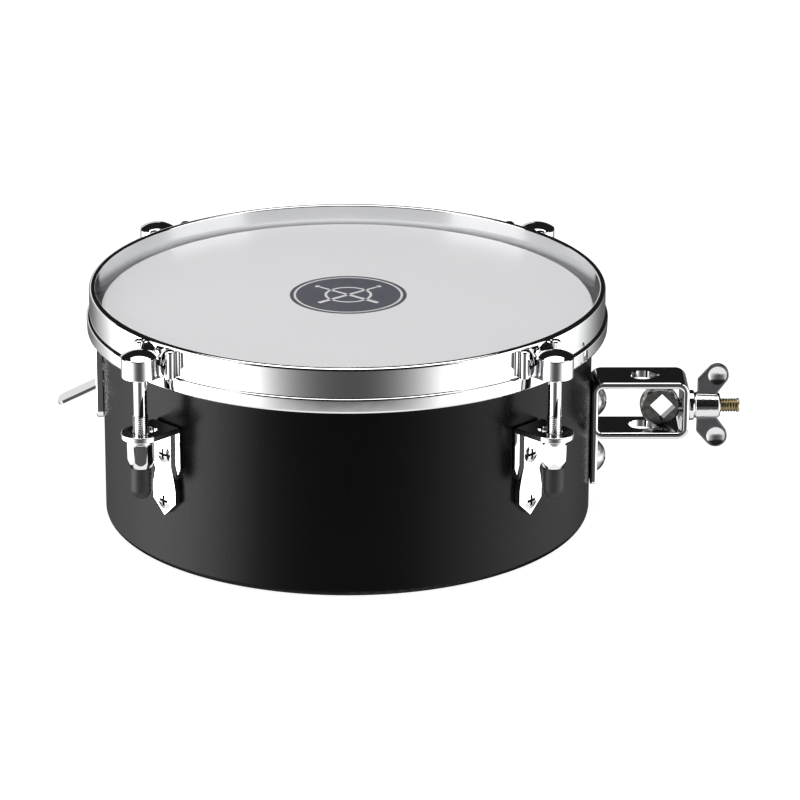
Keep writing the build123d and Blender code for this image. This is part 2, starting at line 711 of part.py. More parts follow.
def build_clamp_strap():
    """One steel strap: a back plate on the shell, bent into a closed loop that the rod passes through."""
    left = SHELL_R
    inner_bend = STRAP_BEND_R - STRAP_T
    mid_x = (left + STRAP_RIGHT_X) / 2
    mid_z = (STRAP_TOP_Z + STRAP_FOOT_Z) / 2
    length = STRAP_RIGHT_X - left
    height = STRAP_TOP_Z - STRAP_FOOT_Z
    with BuildPart() as strap:
        with BuildSketch(Plane.XZ.offset(-STRAP_HALF_WIDTH)):
            with Locations((mid_x, mid_z)):
                RectangleRounded(length, height, STRAP_BEND_R)
            with Locations((left + STRAP_T / 2, (mid_z + STRAP_END_Z) / 2)):
                Rectangle(STRAP_T, mid_z - STRAP_END_Z)
            with Locations((mid_x, mid_z)):
                RectangleRounded(length - 2 * STRAP_T, height - 2 * STRAP_T, inner_bend, mode=Mode.SUBTRACT)
        extrude(amount=2 * STRAP_HALF_WIDTH)
        sides = strap.edges().group_by(Axis.Y)
        fillet(sides[0] + sides[-1], STRAP_EDGE)
        flank = ROD_HOLE_R / sqrt(2)
        notch_x = ROD_HOLE_X + 2 * flank
        for z in (STRAP_TOP_Z, STRAP_FOOT_Z + STRAP_T):
            with BuildSketch(Plane.XY.offset(z)):
                with Locations((ROD_HOLE_X, 0)):
                    Circle(ROD_HOLE_R)
                with BuildLine():
                    Polyline(
                        (ROD_HOLE_X, 0),
                        (ROD_HOLE_X + flank, flank),
                        (notch_x, 0),
                        (ROD_HOLE_X + flank, -flank),
                        close=True,
                    )
                make_face()
            extrude(amount=-STRAP_T, mode=Mode.SUBTRACT)
        with BuildSketch(radial_plane(STRAP_RIGHT_X, CLAMP_Z)):
            Circle(SHANK_R + SHANK_CLEARANCE)
        extrude(amount=-STRAP_T, mode=Mode.SUBTRACT)
        for z in CLAMP_SCREW_Z:
            with BuildSketch(radial_plane(left, z)):
                Circle(CLAMP_SCREW_R + FACE_GAP)
            extrude(amount=STRAP_T, mode=Mode.SUBTRACT)
    write(strap.part, "clamp_strap")


def build_clamp_fasteners():
    """The two large screws that hold the clamp on, and their nuts behind the backing plate."""
    head_x = SHELL_R + STRAP_T + FACE_GAP
    nut_x = BACKING_X - BACKING_T - FACE_GAP - CLAMP_NUT_H
    end_x = nut_x - SCREW_END
    bore_r = CLAMP_SCREW_R + FACE_GAP
    screws, nuts = [], []
    for z in CLAMP_SCREW_Z:
        screws.append(
            screw_shape(head_x, z, CLAMP_SCREW_HEAD_R, CLAMP_SCREW_HEAD_H, CLAMP_SCREW_R, end_x)
        )
        nuts.append(inner_nut_shape(nut_x, z, CLAMP_NUT_FLATS, CLAMP_NUT_H, bore_r))
    write_group(screws, "clamp_screws")
    write_group(nuts, "clamp_inner_nuts")


def build_backing_plate():
    """The plate behind the clamp's screws, with two ears that carry the snare frame's pin."""
    inner_x = BACKING_X - BACKING_T
    with BuildPart() as plate:
        with BuildSketch(radial_plane(inner_x, (BACKING_LOW_Z + BACKING_TOP_Z) / 2)):
            RectangleRounded(2 * STRAP_HALF_WIDTH, BACKING_TOP_Z - BACKING_LOW_Z, BACKING_CORNER)
        extrude(amount=BACKING_T)
        for y in (FRAME_EAR_Y, -FRAME_EAR_Y - FRAME_EAR_T):
            with BuildSketch(Plane.XZ.offset(-y)):
                with Locations(((inner_x + FRAME_PIVOT_X) / 2, FRAME_PIVOT_Z)):
                    Rectangle(inner_x - FRAME_PIVOT_X, 2 * FRAME_EAR_R)
                with Locations((FRAME_PIVOT_X, FRAME_PIVOT_Z)):
                    Circle(FRAME_EAR_R)
                    Circle(PIN_R + FACE_GAP, mode=Mode.SUBTRACT)
            extrude(amount=-FRAME_EAR_T)
        for z in CLAMP_SCREW_Z:
            with BuildSketch(radial_plane(inner_x, z)):
                Circle(CLAMP_SCREW_R + FACE_GAP)
            extrude(amount=BACKING_T, mode=Mode.SUBTRACT)
    write(plate.part, "clamp_backing_plate")


def build_eye_bolt():
    """A thick ring with a square hole set corner-up, on a threaded shank that points along +X."""
    shank_x = EYE_RING_X + EYE_R - EYE_EDGE
    thread_x = STRAP_RIGHT_X + CLAMP_GAP + CLAMP_WASHER_T
    with BuildPart() as eye_bolt:
        with BuildSketch(Plane.XZ.offset(EYE_HALF_T)):
            with Locations((EYE_RING_X, CLAMP_Z)):
                Circle(EYE_R)
        extrude(amount=-2 * EYE_HALF_T)
        chamfer(eye_bolt.edges().filter_by(GeomType.CIRCLE), EYE_EDGE)
        with BuildSketch(Plane.XZ):
            with BuildLine():
                points = [
                    (shank_x, CLAMP_Z),
                    (shank_x, CLAMP_Z + SHANK_R),
                    (thread_x, CLAMP_Z + SHANK_R),
                ]
                turns = int((SHANK_END_X - SHANK_TIP - thread_x) / SHANK_PITCH)
                for turn in range(turns):
                    x = thread_x + turn * SHANK_PITCH
                    points.append((x + SHANK_PITCH / 2, CLAMP_Z + SHANK_R - SHANK_THREAD_DEPTH))
                    points.append((x + SHANK_PITCH, CLAMP_Z + SHANK_R))
                points.append((SHANK_END_X - SHANK_TIP, CLAMP_Z + SHANK_R))
                points.append((SHANK_END_X, CLAMP_Z + SHANK_R - SHANK_TIP))
                points.append((SHANK_END_X, CLAMP_Z))
                Polyline(*points, close=True)
            make_face()
        revolve(axis=Axis((0, 0, CLAMP_Z), (1, 0, 0)))
        with BuildSketch(Plane.XZ.offset(EYE_HALF_T)):
            with Locations((EYE_X, CLAMP_Z)):
                Rectangle(EYE_HOLE, EYE_HOLE, rotation=45)
        extrude(amount=-2 * EYE_HALF_T, mode=Mode.SUBTRACT)
        faces = eye_bolt.faces().filter_by(Axis.Y).sort_by(Axis.Y)
        hole_edges = faces[0].inner_wires()[0].edges() + faces[-1].inner_wires()[0].edges()
        chamfer(hole_edges, EYE_HOLE_EDGE)
    write(eye_bolt.part, "eye_bolt")


def build_clamp_washer():
    x = STRAP_RIGHT_X + CLAMP_GAP
    with BuildPart() as washer:
        with BuildSketch(radial_plane(x, CLAMP_Z)):
            Circle(CLAMP_WASHER_R)
            Circle(SHANK_R + SHANK_CLEARANCE, mode=Mode.SUBTRACT)
        extrude(amount=CLAMP_WASHER_T)
        rims = washer.edges().filter_by(GeomType.CIRCLE).sort_by(SortBy.RADIUS)[-2:]
        chamfer(rims, CLAMP_WASHER_EDGE)
    write(washer.part, "clamp_washer")


def build_wing_nut():
    hub_x = STRAP_RIGHT_X + CLAMP_GAP + CLAMP_WASHER_T + FACE_GAP
    hub_end = hub_x + WING_HUB_LENGTH
    outer_x = WING_TIP_X + WING_TIP_R * cos(radians(WING_OUTER_TANGENT))
    outer_rise = WING_SPAN - WING_TIP_R * sin(radians(WING_OUTER_TANGENT))
    inner_x = WING_TIP_X - WING_TIP_R * cos(radians(WING_INNER_TANGENT))
    inner_rise = WING_SPAN + WING_TIP_R * sin(radians(WING_INNER_TANGENT))
    dish_sphere_r = (WING_DISH_R**2 + WING_DISH_DEPTH**2) / (2 * WING_DISH_DEPTH)
    with BuildPart() as wing_nut:
        with BuildSketch(Plane.XZ.offset(WING_HALF_T)):
            for side in (1, -1):
                with Locations((WING_TIP_X, CLAMP_Z + side * WING_SPAN)):
                    Circle(WING_TIP_R)
                with BuildLine():
                    Polyline(
                        (WING_ROOT_X, CLAMP_Z),
                        (WING_ROOT_X, CLAMP_Z + side * WING_SHOULDER),
                        (inner_x, CLAMP_Z + side * inner_rise),
                        (outer_x, CLAMP_Z + side * outer_rise),
                        (WING_CROTCH_X, CLAMP_Z + side * WING_CROTCH),
                        (WING_CROTCH_X, CLAMP_Z),
                        close=True,
                    )
                make_face()
        extrude(amount=-2 * WING_HALF_T)
        fillet(wing_nut.edges().filter_by(GeomType.CIRCLE), WING_RIM_ROUND)
        for side in (1, -1):
            for face in (1, -1):
                dish_y = face * (WING_HALF_T + dish_sphere_r - WING_DISH_DEPTH)
                with Locations((WING_TIP_X, dish_y, CLAMP_Z + side * WING_SPAN)):
                    Sphere(dish_sphere_r, mode=Mode.SUBTRACT)
        with BuildSketch(Plane.XZ):
            with BuildLine():
                low_r = WING_HUB_R - WING_HUB_TAPER
                Polyline(
                    (hub_x, CLAMP_Z),
                    (hub_x, CLAMP_Z + WING_HUB_R - WING_HUB_EDGE),
                    (hub_x + WING_HUB_EDGE, CLAMP_Z + WING_HUB_R),
                    (hub_end - WING_HUB_EDGE, CLAMP_Z + low_r),
                    (hub_end, CLAMP_Z + low_r - WING_HUB_EDGE),
                    (hub_end, CLAMP_Z),
                    close=True,
                )
            make_face()
        revolve(axis=Axis((0, 0, CLAMP_Z), (1, 0, 0)))
        with BuildSketch(radial_plane(hub_x, CLAMP_Z)):
            Circle(SHANK_R + SHANK_CLEARANCE)
        extrude(amount=WING_HUB_LENGTH, mode=Mode.SUBTRACT)
    write(wing_nut.part, "wing_nut")


def build_lever_plate():
    outer_x = -SHELL_R - LEVER_PLATE_T
    mid_z = (LEVER_PLATE_LOW_Z + LEVER_PLATE_TOP_Z) / 2
    height = LEVER_PLATE_TOP_Z - LEVER_PLATE_LOW_Z
    slot_mid = sum(LEVER_SLOT_Z) / 2
    slot_height = LEVER_SLOT_Z[1] - LEVER_SLOT_Z[0]
    with BuildPart() as plate:
        with BuildSketch(radial_plane(outer_x, mid_z)):
            RectangleRounded(2 * LEVER_PLATE_HALF_WIDTH, height, LEVER_PLATE_CORNER)
        extrude(amount=LEVER_PLATE_T)
        fillet(plate.faces().sort_by(Axis.X)[0].outer_wire().edges(), LEVER_PLATE_ROUND)
        with BuildSketch(radial_plane(outer_x, slot_mid)):
            Rectangle(2 * LEVER_SLOT_HALF_WIDTH, slot_height)
        extrude(amount=LEVER_PLATE_T, mode=Mode.SUBTRACT)
        for z in LEVER_SCREW_Z:
            with Locations(Plane(origin=(outer_x, 0, z), x_dir=(0, 1, 0), z_dir=(-1, 0, 0))):
                CounterSinkHole(
                    LEVER_SCREW_R + FACE_GAP, LEVER_SCREW_HEAD_R, LEVER_PLATE_T, COUNTERSINK_ANGLE
                )
    write(plate.part, "lever_plate")


def countersunk_screw_shape(head_x, z, head_r, shank_r, end_x):
    """A flat-headed cross-head screw whose head faces -X and whose shank runs along +X."""
    with BuildPart() as screw:
        with BuildSketch(Plane.XY.offset(z)):
            with BuildLine():
                Polyline(
                    (head_x, 0),
                    (head_x, head_r),
                    (head_x + head_r - shank_r, shank_r),
                    (end_x, shank_r),
                    (end_x, 0),
                    close=True,
                )
            make_face()
        revolve(axis=Axis((0, 0, z), (1, 0, 0)))
        with BuildSketch(radial_plane(head_x, z)):
            Rectangle(head_r * RECESS_LENGTH, head_r * RECESS_WIDTH)
            Rectangle(head_r * RECESS_WIDTH, head_r * RECESS_LENGTH)
        extrude(amount=LEVER_SCREW_RECESS, mode=Mode.SUBTRACT)
    return screw.part


def build_lever_fasteners():
    nut_x = FULCRUM_X + FULCRUM_T + FACE_GAP
    head_x = -SHELL_R - LEVER_PLATE_T + FACE_GAP
    end_x = nut_x + SMALL_NUT_H + SCREW_END
    head_r = LEVER_SCREW_HEAD_R - FACE_GAP
    bore_r = LEVER_SCREW_R + FACE_GAP
    screws, nuts = [], []
    for z in LEVER_SCREW_Z:
        screws.append(countersunk_screw_shape(head_x, z, head_r, LEVER_SCREW_R, end_x))
        nuts.append(inner_nut_shape(nut_x, z, SMALL_NUT_FLATS, SMALL_NUT_H, bore_r))
    write_group(screws, "lever_plate_screws")
    write_group(nuts, "lever_plate_nuts")


def build_fulcrum():
    """The bracket inside the shell that carries the lever's pin between two ears."""
    mid_z = (LEVER_PLATE_LOW_Z + LEVER_PLATE_TOP_Z) / 2
    inner_x = FULCRUM_X + FULCRUM_T
    height = LEVER_PLATE_TOP_Z - LEVER_PLATE_LOW_Z - 2 * FULCRUM_INSET
    slot_mid = sum(LEVER_SLOT_Z) / 2
    with BuildPart() as fulcrum:
        with BuildSketch(radial_plane(FULCRUM_X, mid_z)):
            RectangleRounded(2 * LEVER_PLATE_HALF_WIDTH, height, FULCRUM_CORNER)
        extrude(amount=FULCRUM_T)
        with BuildSketch(radial_plane(FULCRUM_X, slot_mid)):
            Rectangle(2 * LEVER_SLOT_HALF_WIDTH, LEVER_SLOT_Z[1] - LEVER_SLOT_Z[0])
        extrude(amount=FULCRUM_T, mode=Mode.SUBTRACT)
        for y in (FULCRUM_EAR_Y, -FULCRUM_EAR_Y - FULCRUM_EAR_T):
            with BuildSketch(Plane.XZ.offset(-y)):
                with Locations(((inner_x + LEVER_PIVOT_X) / 2, LEVER_PIVOT_Z)):
                    Rectangle(LEVER_PIVOT_X - inner_x, 2 * FULCRUM_EAR_END)
                with Locations((LEVER_PIVOT_X, LEVER_PIVOT_Z)):
                    Circle(FULCRUM_EAR_END)
                    Circle(PIN_R + FACE_GAP, mode=Mode.SUBTRACT)
            extrude(amount=-FULCRUM_EAR_T)
        for z in LEVER_SCREW_Z:
            with BuildSketch(radial_plane(FULCRUM_X, z)):
                Circle(LEVER_SCREW_R + FACE_GAP)
            extrude(amount=FULCRUM_T, mode=Mode.SUBTRACT)
    write(fulcrum.part, "lever_fulcrum")


def pin_shape(x, z, half_length):
    """A plain cross pin with a small head at each end."""
    with BuildPart() as pin:
        with BuildSketch(Plane.XZ.offset(half_length)):
            with Locations((x, z)):
                Circle(PIN_R)
        extrude(amount=-2 * half_length)
        for y in (half_length, -half_length - PIN_HEAD):
            with BuildSketch(Plane.XZ.offset(y)):
                with Locations((x, z)):
                    Circle(PIN_R + PIN_HEAD)
            extrude(amount=PIN_HEAD)
    return pin.part


def build_pins():
    lever_half = FULCRUM_EAR_Y + FULCRUM_EAR_T + FACE_GAP
    write(pin_shape(LEVER_PIVOT_X, LEVER_PIVOT_Z, lever_half), "lever_pin")
    frame_half = FRAME_EAR_Y + FRAME_EAR_T + FACE_GAP
    write(pin_shape(FRAME_PIVOT_X, FRAME_PIVOT_Z, frame_half), "snare_frame_pin")


def build_lever():
    """A flat lever through the shell wall: a handle outside, a pivot barrel and a nose inside."""
    outward = (-cos(radians(LEVER_ANGLE)), 0, -sin(radians(LEVER_ANGLE)))
    upward = (-sin(radians(LEVER_ANGLE)), 0, cos(radians(LEVER_ANGLE)))
    side = Plane(origin=(LEVER_PIVOT_X, 0, LEVER_PIVOT_Z), x_dir=outward, z_dir=(0, 1, 0))
    with BuildPart() as lever:
        with BuildSketch(side.offset(-LEVER_HALF_WIDTH)):
            with Locations(((LEVER_OUT - LEVER_IN) / 2, 0)):
                Rectangle(LEVER_OUT + LEVER_IN, LEVER_T)
            with Locations((-LEVER_IN, 0)):
                Circle(LEVER_NOSE_R)
            Circle(LEVER_BARREL_R)
            Circle(PIN_R + PIN_CLEARANCE, mode=Mode.SUBTRACT)
        extrude(amount=2 * LEVER_HALF_WIDTH)
        up_axis = Axis((0, 0, 0), upward)
        out_axis = Axis((0, 0, 0), outward)
        fillet(lever.edges().filter_by(up_axis).sort_by(out_axis)[-2:], LEVER_CORNER)
        handle_face = lever.faces().filter_by(up_axis).sort_by(out_axis)[-1]
        fillet(handle_face.edges().filter_by(GeomType.CIRCLE), LEVER_TIP_ROUND)
    write(lever.part, "snare_lever")


def build_snare_frame():
    """A bent bar under the head: hinged on its right leg and lifted by the lever at its left foot."""
    with BuildPart() as frame:
        with BuildSketch(Plane.XZ.offset(-FRAME_HALF_WIDTH)):
            with BuildLine():
                left = FRAME_LEG_X - FRAME_T
                top = FRAME_BAR_Z + FRAME_T
                right = FRAME_PIVOT_X + FRAME_T / 2
                Polyline(
                    (FRAME_FOOT_END_X, FRAME_FOOT_Z),
                    (FRAME_LEG_X, FRAME_FOOT_Z),
                    (FRAME_LEG_X, FRAME_BAR_Z),
                    (right - FRAME_T, FRAME_BAR_Z),
                    (right - FRAME_T, FRAME_PIVOT_Z),
                    (right, FRAME_PIVOT_Z),
                    (right, top),
                    (left, top),
                    (left, FRAME_FOOT_Z + FRAME_T),
                    (FRAME_FOOT_END_X, FRAME_FOOT_Z + FRAME_T),
                    close=True,
                )
            make_face()
            with Locations((FRAME_PIVOT_X, FRAME_PIVOT_Z)):
                Circle(FRAME_BARREL_R)
                Circle(PIN_R + PIN_CLEARANCE, mode=Mode.SUBTRACT)
        extrude(amount=2 * FRAME_HALF_WIDTH)
        for x in (-SNARE_PLATE_X, SNARE_PLATE_X):
            with BuildSketch(Plane.XY.offset(FRAME_BAR_Z)):
                with Locations((x, -SNARE_SCREW_Y), (x, SNARE_SCREW_Y)):
                    Circle(SNARE_SCREW_R + FACE_GAP)
            extrude(amount=FRAME_T, mode=Mode.SUBTRACT)
    write(frame.part, "snare_frame")


def build_snares():
    """Twelve straight coil wires, the two plates that hold their ends, and the plates' four screws."""
    wire_z = HEAD_Z - FILM - SNARE_WIRE_GAP - SNARE_WIRE_R
    plate_top = wire_z - SNARE_WIRE_R - FACE_GAP
    pad_z = FRAME_BAR_Z + FRAME_T + FACE_GAP
    plate_width = (SNARE_WIRES - 1) * SNARE_WIRE_PITCH + 2 * SNARE_PLATE_MARGIN
    with BuildPart() as wires:
        with BuildSketch(radial_plane(-SNARE_HALF_LENGTH, wire_z)):
            with GridLocations(SNARE_WIRE_PITCH, 1, SNARE_WIRES, 1):
                Circle(SNARE_WIRE_R)
        extrude(amount=2 * SNARE_HALF_LENGTH)
    write(wires.part, "snare_wires")
    with BuildPart() as plates:
        for x in (-SNARE_PLATE_X, SNARE_PLATE_X):
            with BuildSketch(Plane.XY.offset(plate_top)):
                with Locations((x, 0)):
                    RectangleRounded(SNARE_PLATE_LENGTH, plate_width, SNARE_PLATE_CORNER)
            extrude(amount=-SNARE_PLATE_T)
            with BuildSketch(Plane.XY.offset(pad_z)):
                with Locations((x, 0)):
                    Rectangle(SNARE_PLATE_LENGTH, 2 * FRAME_HALF_WIDTH)
            extrude(amount=plate_top - SNARE_PLATE_T - pad_z)
            with BuildSketch(Plane.XY.offset(pad_z)):
                with Locations((x, -SNARE_SCREW_Y), (x, SNARE_SCREW_Y)):
                    Circle(SNARE_SCREW_R + FACE_GAP)
            extrude(amount=plate_top - SNARE_PLATE_T - pad_z, mode=Mode.SUBTRACT)
    write(plates.part, "snare_end_plates")
    with BuildPart() as screws:
        for x in (-SNARE_PLATE_X, SNARE_PLATE_X):
            with BuildSketch(Plane.XY.offset(FRAME_BAR_Z - FACE_GAP)):
                with Locations((x, -SNARE_SCREW_Y), (x, SNARE_SCREW_Y)):
                    Circle(SNARE_SCREW_HEAD_R)
            extrude(amount=-SNARE_SCREW_HEAD_H)
            with BuildSketch(Plane.XY.offset(FRAME_BAR_Z - FACE_GAP)):
                with Locations((x, -SNARE_SCREW_Y), (x, SNARE_SCREW_Y)):
                    Circle(SNARE_SCREW_R)
            extrude(amount=plate_top - SNARE_PLATE_T - FRAME_BAR_Z)
    write(screws.part, "snare_plate_screws")


build_shell()
build_head()
build_hoop()
build_lugs()
build_lug_fasteners()
build_clamp_strap()
build_clamp_fasteners()
build_backing_plate()
build_eye_bolt()
build_clamp_washer()
build_wing_nut()
build_lever_plate()
build_lever_fasteners()
build_fulcrum()
build_pins()
build_lever()
build_snare_frame()
build_snares()
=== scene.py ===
import json
import math

import bpy
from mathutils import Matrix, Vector


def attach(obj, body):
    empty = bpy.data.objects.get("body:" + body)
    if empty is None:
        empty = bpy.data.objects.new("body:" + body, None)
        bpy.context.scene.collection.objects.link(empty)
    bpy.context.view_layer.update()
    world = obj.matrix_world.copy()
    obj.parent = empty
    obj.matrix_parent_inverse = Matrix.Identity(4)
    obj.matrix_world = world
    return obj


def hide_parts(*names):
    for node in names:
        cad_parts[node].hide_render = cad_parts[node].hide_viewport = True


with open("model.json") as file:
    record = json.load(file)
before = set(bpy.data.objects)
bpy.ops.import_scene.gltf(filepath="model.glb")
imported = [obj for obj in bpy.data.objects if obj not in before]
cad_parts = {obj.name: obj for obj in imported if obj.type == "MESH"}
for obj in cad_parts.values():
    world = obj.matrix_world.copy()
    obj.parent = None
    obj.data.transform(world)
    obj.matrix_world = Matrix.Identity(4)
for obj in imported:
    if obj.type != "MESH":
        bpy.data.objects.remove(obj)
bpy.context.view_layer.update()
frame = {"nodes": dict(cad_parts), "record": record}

# The looks of a ten-inch snare timbale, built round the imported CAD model. Metres, +Z up, in the CAD
# frame: the origin is on the drum's axis in the plane of the bottom rim, the player stands at -Y.

MM = 0.001
LUGS = {"front_left": 225, "front_right": 315, "back_right": 45, "back_left": 135}
NUT_TURN = {"front_left": 15, "front_right": 15, "back_right": 0, "back_left": 25}

# Camera: distance and elevation seen from the centre of the head, and a point to aim at
HEAD_Z = 114.3
CAMERA_DISTANCE = 2.125
CAMERA_ELEVATION = math.radians(18.89)
CAMERA_LENS = 184.5
CAMERA_CLIP = (0.05, 60)
AIM_RIGHT = 27.2 * MM
AIM_DOWN = 52.9 * MM

# The room seen in reflections: (azimuth as a share of a turn from the back, brightness) round the
# walls, with the player's side at 0.5; a bright floor below them; and a low screen behind on the left
SWEEP_BRIGHTNESS = (
    (0.0, 0.012),
    (0.06, 0.018),
    (0.10, 0.05),
    (0.15, 0.12),
    (0.20, 0.38),
    (0.25, 0.75),
    (0.30, 0.90),
    (0.35, 0.50),
    (0.385, 0.11),
    (0.44, 0.015),
    (0.50, 0.008),
    (0.55, 0.011),
    (0.60, 0.07),
    (0.65, 0.24),
    (0.70, 0.34),
    (0.76, 0.32),
    (0.82, 0.16),
    (0.87, 0.06),
    (0.91, 0.02),
    (0.94, 0.014),
    (1.0, 0.012),
)
SWEEP_GAIN = 9.0
FLOOR_START = -0.40
FLOOR_FULL = -0.47
FLOOR_GAIN = 0.95
FLOOR_BACK = 0.5
SCREEN_TOP = 0.25
SCREEN_EDGE = 0.5
SCREEN_GAIN = 0.8
ROOM_GLOW = 0.012

# The softboxes: place, width, height and power, all aimed at the drum's middle
LIGHT_TARGET = (0, 0, 0.06)
SOFTBOXES = {
    "softbox_left": ((-1.5, -0.5, 0.75), 1.3, 1.4, 12),
    "softbox_right": ((1.5, -0.5, 0.75), 1.3, 1.4, 10),
    "softbox_top": ((0, 0.1, 1.9), 1.8, 1.4, 25),
    "softbox_front": ((0, -1.6, 1.6), 1.2, 0.6, 3),
}
UNMIRRORED_LIGHT = "softbox_front"

# The floor
FLOOR_HALF = 12
FLOOR_GREYS = ((0.34, 0.34, 0.34), (0.36, 0.36, 0.36))
FLOOR_TINT = (3, 3)
FLOOR_ROUGHNESS = 0.9
FLOOR_SPECULAR = 0.1
FLOOR_EMISSION = 0.9

# How a material is finished: noise scale and detail of its tint; scale, detail and roughness of the
# noise in its roughness; and scale, detail and depth of its relief
PLATE_LOOK = ((35, 3), (140, 6, 0.65), (60, 2, 0.03 * MM))
PAINT_LOOK = ((25, 3), (900, 4, 0.5), (1300, 2, 0.04 * MM))
FILM_LOOK = ((9, 4), (500, 4, 0.5), (2500, 1, 0.01 * MM))
RUBBER_LOOK = ((300, 3), (1500, 4, 0.5), (3000, 2, 0.03 * MM))
INK_LOOK = ((120, 4), (800, 4, 0.5), (2500, 1, 0.01 * MM))
BOLT_LOOK = ((90, 3), (400, 5, 0.5), (300, 3, 0.03 * MM))
CAST_GRAIN = (700, 5, 0.5)
CAST_RELIEF = (500, 4, 0.06 * MM)
NOISE_LOW = 0.25
NOISE_HIGH = 0.75

# Colours and roughness, each from and to
CHROME_COLOURS = ((0.86, 0.87, 0.88), (0.90, 0.90, 0.91))
CHROME_ROUGHNESS = (0.02, 0.05)
NICKEL_COLOURS = ((0.30, 0.29, 0.28), (0.36, 0.35, 0.34))
NICKEL_ROUGHNESS = (0.16, 0.30)
ZINC_COLOURS = ((0.55, 0.55, 0.56), (0.63, 0.63, 0.64))
ZINC_ROUGHNESS = (0.25, 0.42)
SATIN_COLOURS = ((0.42, 0.42, 0.43), (0.48, 0.48, 0.49))
SATIN_ROUGHNESS = (0.22, 0.34)
PAINT_COLOURS = ((0.0020, 0.0018, 0.0018), (0.0030, 0.0028, 0.0028))
PAINT_ROUGHNESS = (0.22, 0.29)
PAINT_SPECULAR = 0.11
FILM_COLOURS = ((0.82, 0.82, 0.835), (0.85, 0.85, 0.865))
FILM_ROUGHNESS = (0.32, 0.40)
RUBBER_COLOURS = ((0.012, 0.012, 0.012), (0.022, 0.022, 0.021))
RUBBER_ROUGHNESS = (0.45, 0.6)
INK_COLOURS = ((0.094, 0.096, 0.118), (0.108, 0.110, 0.132))
PRINT_COLOURS = ((0.72, 0.72, 0.73), (0.78, 0.78, 0.79))
INK_ROUGHNESS = (0.38, 0.5)
CAST_COLOURS = ((0.20, 0.20, 0.21), (0.84, 0.84, 0.85))
CAST_ROUGHNESS = (0.28, 0.42)
CAST_POLISH = -0.2
BOLT_RING_COLOURS = ((0.30, 0.29, 0.28), (0.38, 0.37, 0.36))
BOLT_THREAD_COLOURS = ((0.42, 0.36, 0.22), (0.52, 0.45, 0.29))
BOLT_ROUGHNESS = (0.14, 0.26)
BOLT_THREAD_DULLING = 0.12
# Chrome for the lug screws, then near black: shade painted into their cross recesses
SCREW_CHROME_AND_RECESS_SHADE_COLOURS = ((0.88, 0.89, 0.90), (0.002, 0.002, 0.002))
SCREW_RECESS_DULLING = 0.4

# Sizes from the CAD model that the materials need, in metres
LUG_SCREW_Z = (63.3 * MM, 38.3 * MM)
CROSS_HALF_LENGTH = 2.9 * MM
CROSS_HALF_WIDTH = 0.78 * MM
CLAMP_Z = 55.2 * MM
WING_SPAN = 16.9 * MM
WING_TIP_X = 193.1 * MM
WING_DISH_R = 4.9 * MM
WING_WEB_HALF = 1.85 * MM
EYE_THREAD_X = 181.0 * MM

# The cast wing nut's skin
CAST_VOXEL = 0.25 * MM
CAST_SMOOTHING = 0.5
CAST_PASSES = 3

# Edges sharper than this, in degrees, aren't shaded smooth
SHARP_ANGLE = 35

# The counterhoop's profile, in millimetres from here on
HOOP_INNER_R = 130.35
HOOP_WALL_R = 133.55
HOOP_TOP_Z = 123.4
HOOP_LOW_Z = 100.25
HOOP_OUTER_ROUND = 1.6
HOOP_INNER_ROUND = 0.9
HOOP_LEDGE = (132.6, 107.6)
BEAD_R = 135.0
BEAD_TOP_Z = 108.1
BEAD_ROUND = 1.1
BEAD_LEAN = 0.225
BEAD_BOW = 0.1
BEAD_ROWS = (0.04, 0.25, 0.5, 0.75, 0.96)
ROUND_STEPS = 6
OUTER_ROUND_STEPS = 8
HOOP_STATIONS = 384

# The tension rods
ROD_CIRCLE_R = 145.4
ROD_SHANK_R = 3.4
ROD_LOW_Z = 47.6
ROD_TOP_Z = 116.5
ROD_TIP = 1.0
THREAD_R = 3.9
THREAD_DEPTH = 0.6
THREAD_PITCH = 1.0
THREAD_TOP_Z = 88.0
THREAD_CREST_EDGE = 0.88
THREAD_ROOT_EDGE = 0.12
ROD_COLUMNS = 28
ROD_STEP = 0.125
ROD_SHARP_ANGLE = 50

# The tension nuts
NUT_FACE_R = 6.0
NUT_CORNER_R = 6.93
NUT_NOSE_R = 4.5
NUT_BORE_R = 3.98
NUT_NOSE_Z = 58.5
NUT_LOW_Z = 60.5
NUT_TOP_Z = 73.7
NUT_CONE_R = 5.08
NUT_CONE_SLOPE = 0.43
NUT_CONE_STEPS = 18
NUT_CONE_STEP = 0.25
NUT_BEVEL = 0.5
NUT_BEVEL_SLOPE = 1.6
NUT_COLUMNS = 96
NUT_SHARP_ANGLE = 22

# The snare coils
COIL_R = 0.72
COIL_WIRE_R = 0.26
COIL_PITCH = 1.7
COIL_HALF_LENGTH = 78.0
COIL_COUNT = 12
COIL_GAP = 4.0
COIL_Z = 112.7
COIL_STEPS = 9
COIL_SIDES = 4
COIL_SHARP_ANGLE = 80

# The print on the head: heights above the film, radii, and the crossed sticks
BADGE_CENTRE = (0.4, 5.2)
BADGE_R = 30.4
BADGE_GROUND_Z = HEAD_Z + 0.02
BADGE_MOTIF_Z = HEAD_Z + 0.04
BADGE_SEGMENTS = 192
BADGE_BORDER = (27.2, 28.4)
BADGE_RING = (11.0, 12.4)
STICK_TILTS = (40, 140)
STICK_LENGTH = 40
STICK_WIDTH = 2.6
STICK_TIP_REACH = 0.3
STICK_TIP_R = 0.55
STICK_TIP_SEGMENTS = 24


